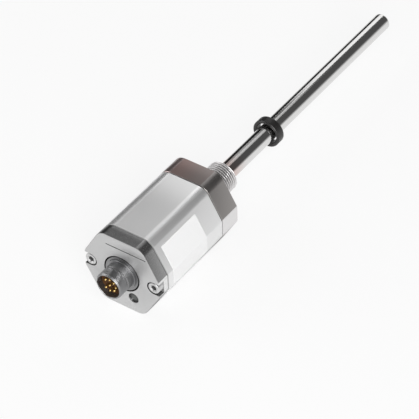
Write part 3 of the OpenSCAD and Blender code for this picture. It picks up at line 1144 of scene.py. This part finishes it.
@dataclass(frozen=True)
class MountingEnd:
    """Flange with its threaded spigot, the rod and the plug at the rod's tip."""

    at: Stations = Stations()
    enclosure: Enclosure = Enclosure()
    flange_chamfer: float = 0.5
    past: float = 0.4  # how far the flange's piece reaches past its face
    undercut_r: float = 7.7
    thread_r: float = 9.0
    bore_r: float = 5.05
    rod_r: float = 5.1
    seat_r: float = 5.0
    rod_bore_r: float = 3.5
    seat: float = -11.6
    weld_r: float = 5.085
    weld_w: float = 0.12
    plug_l: float = 3.0
    tip_chamfer: float = 1.1
    segments: int = 128

    def build_flange(self) -> Obj:
        """The hexagonal body: the CAD flange cut off in front of its face, with chamfers.

        Returns:
            The object.
        """
        e, end, far = self.enclosure, self.at.face, self.flange_chamfer
        start, near, over = self.at.flange_back, e.housing_chamfer, e.over
        obj = copy_node("mounting_flange", "flange")
        rings = [
            (start - over, near + over), (start + near + over, -over),
            (end - far - over, -over), (end, far), (end + self.past, far + self.past),
        ]
        combine(obj, [e.outline.prism("flange_keep", rings)], Keep.INSIDE)
        r, wide, beyond = self.undercut_r, 40.0, end + 2
        neck = turned("neck_cut", [(r, end), (wide, end), (wide, beyond), (r, beyond)])
        combine(obj, [neck], Keep.OUTSIDE)
        soften(obj, e.edge)
        return obj

    def build_thread(self) -> Obj:
        """The spigot: undercut, helical thread with chamfered ends, end face and bore.

        Returns:
            The object.
        """
        end, start, neck, bore = self.at.thread_end, self.at.face + 0.2, self.undercut_r, self.bore_r
        thread = Thread(self.thread_r, 0.0, end, pitch=1.5, depth=0.92, crest=0.2, per_pitch=14)
        return thread.body(
            "thread_spigot",
            [(bore, start), (neck, start), (neck, -0.35), (neck + 0.35, -0.05)],
            [(self.thread_r - 1.2, end), (bore + 0.12, end), (bore, end - 0.12)],
            (0.9, 0.4),
        )

    def build_rod(self) -> Obj:
        """The rod, turned down where it sits in the flange.

        Returns:
            The object.
        """
        step, end, bore = self.at.thread_end, self.at.tube_end, self.rod_bore_r
        points = [
            (bore, self.seat), (self.seat_r, self.seat), (self.seat_r, step), (self.rod_r, step),
            (self.rod_r, end - self.weld_w), (self.weld_r, end), (bore, end),
        ]
        return turned("rod", fillet(points, [0.1, 0.2, 0, 0.03, 0.05, 0, 0]), self.segments)

    def build_plug(self) -> Obj:
        """The plug welded into the rod's tip, with a rounded chamfer round its flat end.

        Returns:
            The object.
        """
        r, joint, end, c = self.rod_r, self.at.tube_end, self.at.rod_end, self.tip_chamfer
        inner, back = self.rod_bore_r - 0.05, joint - self.plug_l
        points = [
            (0, back), (inner, back), (inner, joint), (self.weld_r, joint), (r, joint + self.weld_w),
            (r, end - c), (r - c, end), (0, end),
        ]
        return turned("rod_tip", fillet(points, [0, 0.2, 0, 0, 0.05, 1.2, 1.2, 0]), self.segments)

    def pieces(self) -> Sequence[Piece]:
        """All pieces with their dress; the thread has a finish of its own.

        Returns:
            The pieces.
        """
        return (
            Piece(self.build_flange, "flange_steel", "mounting_flange"),
            Piece(self.build_thread, "thread_steel", slot="flange_steel"),
            Piece(self.build_rod, "rod_steel", "pressure_rod"),
            Piece(self.build_plug, "rod_steel", "rod_end_plug"),
        )


@dataclass(frozen=True)
class RingMagnet:
    """Ring of bonded ferrite that slides on the rod."""

    start: float = 59.3
    thickness: float = 5.5
    bore_r: float = 6.4
    rim_r: float = 8.5
    bore_chamfer: float = 0.8
    rim_chamfer: float = 0.5
    softness: float = 0.2
    segments: int = 128

    def build_ring(self) -> Obj:
        """The ring with softened chamfers.

        Returns:
            The object.
        """
        a, b = self.start, self.start + self.thickness
        bore, rim, c, d = self.bore_r, self.rim_r, self.bore_chamfer, self.rim_chamfer
        points = [
            (bore, a + c), (bore + c, a), (rim - d, a), (rim, a + d),
            (rim, b - d), (rim - d, b), (bore + c, b), (bore, b - c),
        ]
        return turned("ring_magnet", fillet(points, self.softness, 3), self.segments)

    def pieces(self) -> Sequence[Piece]:
        """The ring with its dress, on the body that moves."""
        return (Piece(self.build_ring, "magnet_plastic", "position_magnet", body=Body.MAGNET),)


@dataclass(frozen=True)
class Connector:
    """Round eight pin connector: threaded shell, insert and pins."""

    at: Stations = Stations()
    barrel_r: float = 8.0
    mouth_r: float = 6.9
    thread_l: float = 5.6
    groove_w: float = 1.2
    groove_depth: float = 0.4
    collar_r: float = 9.2
    collar_h: float = 1.2
    base_r: float = 10.7
    base_t: float = 2.5
    seal_w: float = 1.8
    seal_t: float = 1.0
    tail_end: float = -63.2
    chamfer: float = 0.6
    dulled: float = 0.15  # small chamfer on the turned edges
    base_chamfer: float = 0.35
    key_l: float = 2.2
    key_half: float = 0.9
    insert_recess: float = 4.2
    insert_rim: Pair = (0.9, 0.5)  # width and height of the insert's raised border
    counterbore: Pair = (1.05, 0.5)  # radius and depth round each pin
    pin_r: float = 0.65
    pin_tail_r: float = 0.45
    pin_recess: float = 1.1
    pin_shoulder: float = -63.4
    pin_end: float = -59.9
    circle_r: float = 3.75
    places: int = 8
    pin_segments: int = 32

    def pin_places(self) -> np.ndarray:
        """Pins as (y, z): one in the middle and a circle with the place at +Y left out.

        Returns:
            Places, shape (n, 2).
        """
        t = 2 * math.pi * np.arange(1, self.places) / self.places
        ring = np.column_stack([np.cos(t), np.sin(t)]) * self.circle_r
        return np.vstack([[0.0, 0.0], ring])

    def build_shell(self) -> Obj:
        """The shell: a fine thread, a groove, a collar and the base sunk into the cover.

        Returns:
            The object.
        """
        rim, out, c, low = self.at.rim, self.at.cover_out, self.dulled, self.base_chamfer
        groove = rim + self.thread_l
        step, collar, seat = groove + self.groove_w, out - self.collar_h, out + self.base_t
        b, g, m = self.barrel_r, self.barrel_r - self.groove_depth, self.mouth_r
        collar_r, base, ledge = self.collar_r, self.base_r, self.base_r - self.seal_w
        thread = Thread(b, rim + 0.25, groove, pitch=0.75, depth=0.46, crest=0.14, per_pitch=10)
        obj = thread.body(
            "connector_shell",
            [(m, rim + 0.2), (m + c, rim), (b - self.chamfer - 0.1, rim)],
            [
                (g, groove + 0.1), (g, step - c), (b - c, step), (b, step + c), (b, collar),
                (collar_r - c, collar), (collar_r, collar + c), (collar_r, out), (base - low, out),
                (base, out + low), (base, seat - self.seal_t), (ledge, seat - self.seal_t), (ledge, seat),
                (b, seat), (b, self.tail_end), (m, self.tail_end),
            ],
            (self.chamfer, 0.0),
        )
        key = box("key_cut", (rim - 1, m - 0.5, -self.key_half), (rim + self.key_l, m + 0.3, self.key_half))
        combine(obj, [key], Keep.OUTSIDE)
        return obj

    def build_insert(self) -> Obj:
        """The insert: a disc with a raised border, and a counterbore round each pin.

        Returns:
            The object.
        """
        face, r, back = self.at.rim + self.insert_recess, self.mouth_r - 0.05, self.tail_end
        wide, deep = self.insert_rim
        disc = [(0, face), (r - wide, face), (r - wide, face - deep), (r, face - deep), (r, back), (0, back)]
        profile = fillet(disc, [0, 0.1, 0.15, 0.1, 0, 0])
        profile[:, 1] = np.maximum(profile[:, 1], face - deep)
        obj = turned("connector_insert", profile)
        (wide, deep), hole = self.counterbore, self.pin_r + 0.05
        cut = [
            (0, face - 1), (wide, face - 1), (wide, face + deep), (hole, face + deep + 0.3),
            (hole, back + 1), (0, back + 1),
        ]
        holes = [turned("pin_hole", cut, self.pin_segments, [place]) for place in self.pin_places()]
        combine(obj, holes, Keep.OUTSIDE)
        return obj

    def build_pins(self) -> Obj:
        """All pins in one mesh: one turned pin, copied to each place.

        Returns:
            The object.
        """
        r, tail, tip = self.pin_r, self.pin_tail_r, self.at.rim + self.pin_recess
        shoulder, end = self.pin_shoulder, self.pin_end
        rounded = [(0, tip), (r * 0.6, tip), (r, tip + 0.5)]
        points = [*rounded, (r, shoulder), (tail, shoulder), (tail, end), (0, end)]
        profile = fillet(points, [0, 0.15, 0.3, 0, 0, 0.1, 0], 3)
        return turned("contact_pins", profile, self.pin_segments, self.pin_places())

    def pieces(self) -> Sequence[Piece]:
        """All pieces with their dress.

        Returns:
            The pieces.
        """
        return (
            Piece(self.build_shell, "connector_metal", "connector_shell"),
            Piece(self.build_insert, "insert_plastic", "connector_insert"),
            Piece(self.build_pins, "contact_gold", "contact_pins"),
        )


@dataclass(frozen=True)
class CoverTrim:
    """Screws and window in the end cover."""

    at: Stations = Stations()
    offset: float = 20.0
    pocket: float = 4.2
    head_r: float = 3.5
    head_h: float = 4.0
    shank_r: float = 2.0
    shank_end: float = -7.6
    shank_chamfer: float = 0.4
    socket: float = 3.0
    socket_depth: float = 2.2
    lead: float = 0.35
    window_r: float = 3.1
    window_recess: float = 0.7
    window_dome: float = 0.3
    window_at: Pair = (-6.8, -13.8)

    @property
    def head_top(self) -> float:
        """Station of the heads' tops."""
        return self.at.cover_out + self.pocket - self.head_h

    def build_screws(self) -> Obj:
        """Both screws: rounded heads with hexagon sockets and plain shanks.

        Returns:
            The object.
        """
        top, seat = self.head_top, self.at.cover_out + self.pocket
        r, end, c = self.shank_r, self.shank_end, self.shank_chamfer
        head = [(0, top), (self.head_r, top), (self.head_r, seat)]
        points = [*head, (r, seat), (r, end - c), (r - c, end), (0, end)]
        places = [(self.offset, 0.0), (-self.offset, 0.0)]
        obj = turned("cover_screws", fillet(points, [0, 0.45, 0.1, 0, 0.1, 0.1, 0]), 64, places)
        corner, deep, above = self.socket / 2 / math.cos(math.radians(30)), top + self.socket_depth, top - 1
        cone, shallow = corner + self.lead, top + self.lead
        cuts = (
            ([(0, above), (corner, above), (corner, deep), (0, deep + 0.6)], 6),
            ([(0, above), (cone + 1, above), (cone - self.lead, shallow), (0, shallow)], 48),
        )
        cutters = [turned("socket", profile, sides, [place]) for place in places for profile, sides in cuts]
        combine(obj, cutters, Keep.OUTSIDE)
        return obj

    def build_window(self) -> Obj:
        """The light's window with a slightly domed face.

        Returns:
            The object.
        """
        face, back, r = self.at.cover_out + self.window_recess, self.at.cover_in, self.window_r
        dome = [(r * 0.96 * s, face + self.window_dome * s * s) for s in np.linspace(0, 1, 7)]
        profile = dome + [(r, face + self.window_dome + 0.15), (r, back), (0, back)]
        return turned("led_window", profile, 48, [self.window_at])

    def pieces(self) -> Sequence[Piece]:
        """Both pieces with their dress.

        Returns:
            The pieces.
        """
        return (
            Piece(self.build_screws, "screw_steel", "cover_screws"),
            Piece(self.build_window, "window_plastic", "led_window"),
        )


# Studio


def stand(name: str, data: bpy.types.ID, axes: Sequence[Vector], place: Vector) -> Obj:
    """Puts a lamp or a camera into the scene.

    Args:
        name: name of the object.
        data: the lamp or camera.
        axes: directions of its own X, Y and Z.
        place: where it stands, in metres.

    Returns:
        The object.
    """
    obj = bpy.data.objects.new(name, data)
    bpy.context.scene.collection.objects.link(obj)
    matrix = Matrix(axes).transposed().to_4x4()
    matrix.translation = place
    obj.matrix_world = matrix
    return obj


@dataclass(frozen=True)
class Softbox:
    """Area lamp that faces the sensor, with two edges as near to the rod's direction as can be.

    Its plane is square to a direction from the sensor. The box reaches along and across the
    rod between places that are measured in metres from where that direction meets the plane.
    """

    name: str
    ahead: Triple
    reach: float  # metres
    along: Pair
    across: Pair
    radiance: float  # brightness that a mirror shows

    def build(self) -> Obj:
        """Puts the lamp into the scene.

        Returns:
            The lamp's object.
        """
        facing = Vector(self.ahead).normalized()
        rod = (Vector((1, 0, 0)) - facing * facing.x).normalized()
        side = facing.cross(rod)
        lamp = bpy.data.lights.new(self.name, "AREA")
        lamp.shape = "RECTANGLE"
        lamp.size, lamp.size_y = self.along[1] - self.along[0], self.across[1] - self.across[0]
        lamp.energy = self.radiance * math.pi * lamp.size * lamp.size_y
        place = facing * self.reach + rod * (sum(self.along) / 2) + side * (sum(self.across) / 2)
        return stand(self.name, lamp, (rod, side, facing), place)


SOFTBOXES = (
    Softbox("overhead", (0.603, 0.437, 0.667), 1.2, (0.05, 0.80), (-0.33, 0.33), 1.15),
    Softbox("strip", (0.603, 0.118, 0.789), 1.2, (-0.55, 0.04), (-0.24, 0.22), 0.56),
    Softbox("veil", (0.603, 0.40, 0.690), 1.15, (-0.62, -0.05), (-0.26, 0.30), 0.44),
    Softbox("key", (-0.577, -0.577, 0.577), 1.7, (-0.5, 0.5), (-0.5, 0.5), 8.5),
    Softbox("fill", (-0.4, 0.8, 0.45), 1.5, (-0.5, 0.5), (-0.5, 0.5), 2.6),
)


@dataclass(frozen=True)
class Studio:
    """Floor, lamps, world and camera."""

    floor_z: float = -23.05
    floor_half: float = 3000.0
    floor_under: Pair = (14.0, 26.0)  # |y| over which the floor's shade under the sensor ends
    floor_between: Pair = (-74.0, -2.0)  # stations between which it lies
    floor_far: Pair = (110.0, 300.0)  # y over which the far floor turns dark in mirrors
    shade_colour: Colour = grey(0.10)
    azimuth: float = -54.078
    elevation: float = 41.818
    roll: float = -1.759
    distance: float = 1325.449
    aim: Pair = (-4.682, 6.504)
    origin_x: float = -3.0
    focal_px: float = 2486.256
    frame_px: float = 419.0
    sensor_w: float = 36.0
    horizon: float = 0.62
    sky: float = 0.085
    sky_z: Pair = (0.0, 0.30)  # direction's z over which the horizon turns to sky
    flag: float = 0.12  # share of the world's light that is left towards +Y
    flag_y: Pair = (-0.1, 0.5)
    lift_seen: float = 0.85  # how far the floor is lifted to white for the camera
    lift_mirrored: float = 0.78  # the same in mirrors
    lift_shaded: float = 0.18  # added where a mirror shows the dark
    under: float = 0.7  # how dark it is under the sensor

    def build_floor(self) -> Obj:
        """Pale floor, lifted towards white for the camera so that only its shadow shows.

        Metal sees it lifted too, but dark under the sensor and far off towards +Y.

        Returns:
            The floor.
        """
        h, z = self.floor_half, self.floor_z
        corners = np.array([[-h, -h, z], [h, -h, z], [h, h, z], [-h, h, z]])
        obj = make_mesh("floor", corners, [(0, 1, 2, 3)])
        tree = NodeTree(bpy.data.materials.new("floor"))
        tree.surface(Base_Color=grey(0.95), Roughness=0.9, Specular_IOR_Level=0.1)
        ray = tree.node("ShaderNodeLightPath", {}, {}).outputs
        seen = Value(tree, ray["Is Camera Ray"]) | Value(tree, ray["Is Transmission Ray"])
        mirrored = Value(tree, ray["Is Glossy Ray"])
        x, y, _ = tree.xyz
        under = abs(y).ramp(*self.floor_under, 1.0, 0.0) * x.within(*self.floor_between)
        shaded = mirrored * (y.ramp(*self.floor_far) | under * self.under)
        glow = tree.mix(shaded, grey(1.0), self.shade_colour)
        lift = tree.node("ShaderNodeEmission", {}, {"Color": glow, "Strength": 1.0})
        share = seen * self.lift_seen + mirrored * self.lift_mirrored + shaded * self.lift_shaded
        sockets = {0: share, 1: tree.shader.outputs[0], 2: lift.outputs[0]}
        blend = tree.node("ShaderNodeMixShader", {}, sockets)
        output = next(n for n in tree.tree.nodes if n.type == "OUTPUT_MATERIAL")
        tree.feed(output.inputs["Surface"], blend.outputs[0])
        obj.data.materials.append(tree.owner)
        return obj

    def build_world(self) -> None:
        """White round the horizon and dark above it, dimmer towards +Y, for metal to show."""
        tree = NodeTree(bpy.data.worlds.new("studio"))
        bpy.context.scene.world = tree.owner
        _, y, z = tree.split(tree.node("ShaderNodeTexCoord", {}, {}).outputs["Generated"])
        height = z.ramp(*self.sky_z, self.horizon, self.sky)
        tree.surface(Color=grey(1.0), Strength=height * y.ramp(*self.flag_y, 1.0, self.flag))

    def build_camera(self) -> Obj:
        """Camera at the photograph's place: angles, distance and focal length as measured.

        Returns:
            The camera's object.
        """
        a, e, r = (math.radians(v) for v in (self.azimuth, self.elevation, self.roll))
        ahead = Vector((-math.sin(a) * math.cos(e), math.cos(a) * math.cos(e), -math.sin(e)))
        right = Vector((math.cos(a), math.sin(a), 0.0))
        up = right.cross(ahead)
        side = right * math.cos(r) + up * math.sin(r)
        top = up * math.cos(r) - right * math.sin(r)
        origin = Vector((self.origin_x, 0, 0))
        place = (-ahead * self.distance - side * self.aim[0] - top * self.aim[1] + origin) * MM
        data = bpy.data.cameras.new("camera")
        data.sensor_width = self.sensor_w
        data.lens = self.sensor_w * self.focal_px / self.frame_px
        data.clip_start, data.clip_end = 0.05, 20.0
        obj = stand("camera", data, (side, top, -ahead), place)
        bpy.context.scene.camera = obj
        return obj

    def build(self) -> None:
        """Builds all of it."""
        self.build_floor()
        self.build_world()
        for softbox in SOFTBOXES:
            softbox.build()
        self.build_camera()
        bpy.context.scene.view_settings.view_transform = "Standard"


# Finishes of this sensor


def build_materials() -> Materials:
    """One material for each slot of the record, and one for the thread.

    Returns:
        The materials by name.
    """
    at, trim = Stations(), CoverTrim()
    finishes = (
        HousingFinish("anodised_aluminium", (at.housing_back, at.housing_front)),
        CoverFinish("cover_aluminium", at.cover_out, trim.pocket),
        FlangeFinish("flange_steel"),
        ThreadFinish("thread_steel", (0.3, at.thread_end - 0.5)),
        Metal(
            "rod_steel", (0.66, 0.53, 0.50), 0.15, stretch=(1.0, 0.1, 0.1), grain=0.05, relief=0.03,
            far_colour=(0.74, 0.735, 0.73), fade=(18.0, 36.0),
        ),
        ScrewFinish("screw_steel", trim.offset, trim.head_top),
        ShellFinish("connector_metal", at.cover_out),
        Metal("contact_gold", (0.62, 0.43, 0.16), 0.35),
        Plastic("insert_plastic", (0.10, 0.042, 0.012), 0.5, 0.3),
        Plastic("seal_rubber", grey(0.02), 0.7, 0.3),
        WindowFinish("window_plastic", trim.window_at, trim.window_r),
        Plastic("led_plastic", (0.60, 0.78, 0.58), 0.3),
        Plastic("label_film", grey(0.95), 0.55, 0.4, 0.03),
        Plastic("magnet_plastic", (0.018, 0.017, 0.017), 0.40, 0.5, 0.2),
        BoardFinish("board_laminate", (0.012, 0.10, 0.045), (0.03, 0.19, 0.08)),
        Plastic("chip_plastic", grey(0.02)),
        Metal("capacitor_can", (0.50, 0.53, 0.58), 0.35, 0.6),
        Plastic("frame_plastic", grey(0.05), 0.55),
        Plastic("bobbin_plastic", (0.78, 0.72, 0.58)),
        WindingFinish("copper_winding", (0.72, 0.34, 0.16)),
        Plastic("liner_plastic", (0.86, 0.86, 0.84), 0.4),
        Plastic("damper_rubber", (0.28, 0.05, 0.04), 0.6),
        Metal("magnet_iron", (0.10, 0.10, 0.11), 0.5, 0.8),
    )
    return {finish.name: finish.make() for finish in finishes}


def dress_cad(materials: Materials) -> None:
    """Gives every CAD node the material of its slot.

    Args:
        materials: all materials by name.
    """
    slots = {part["node"]: part["material_slot"] for part in frame["record"]["subparts"]}
    for name, obj in frame["nodes"].items():
        obj.data.materials.clear()
        obj.data.materials.append(materials[slots[name]])


def main() -> None:
    """Builds materials, sub-assemblies and studio in order, and reports each piece."""
    logging.basicConfig(level=logging.INFO, format="%(name)s: %(message)s")
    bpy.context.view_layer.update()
    materials = build_materials()
    dress_cad(materials)
    for assembly in (Enclosure(), MountingEnd(), Connector(), CoverTrim(), RingMagnet()):
        for piece in assembly.pieces():
            obj = piece.build(materials)
            LOG.info("%s: %d faces", obj.name, len(obj.data.polygons))
    Studio().build()
    LOG.info("dressed %d CAD nodes", len(frame["nodes"]))


if __name__ == "__main__":
    main()
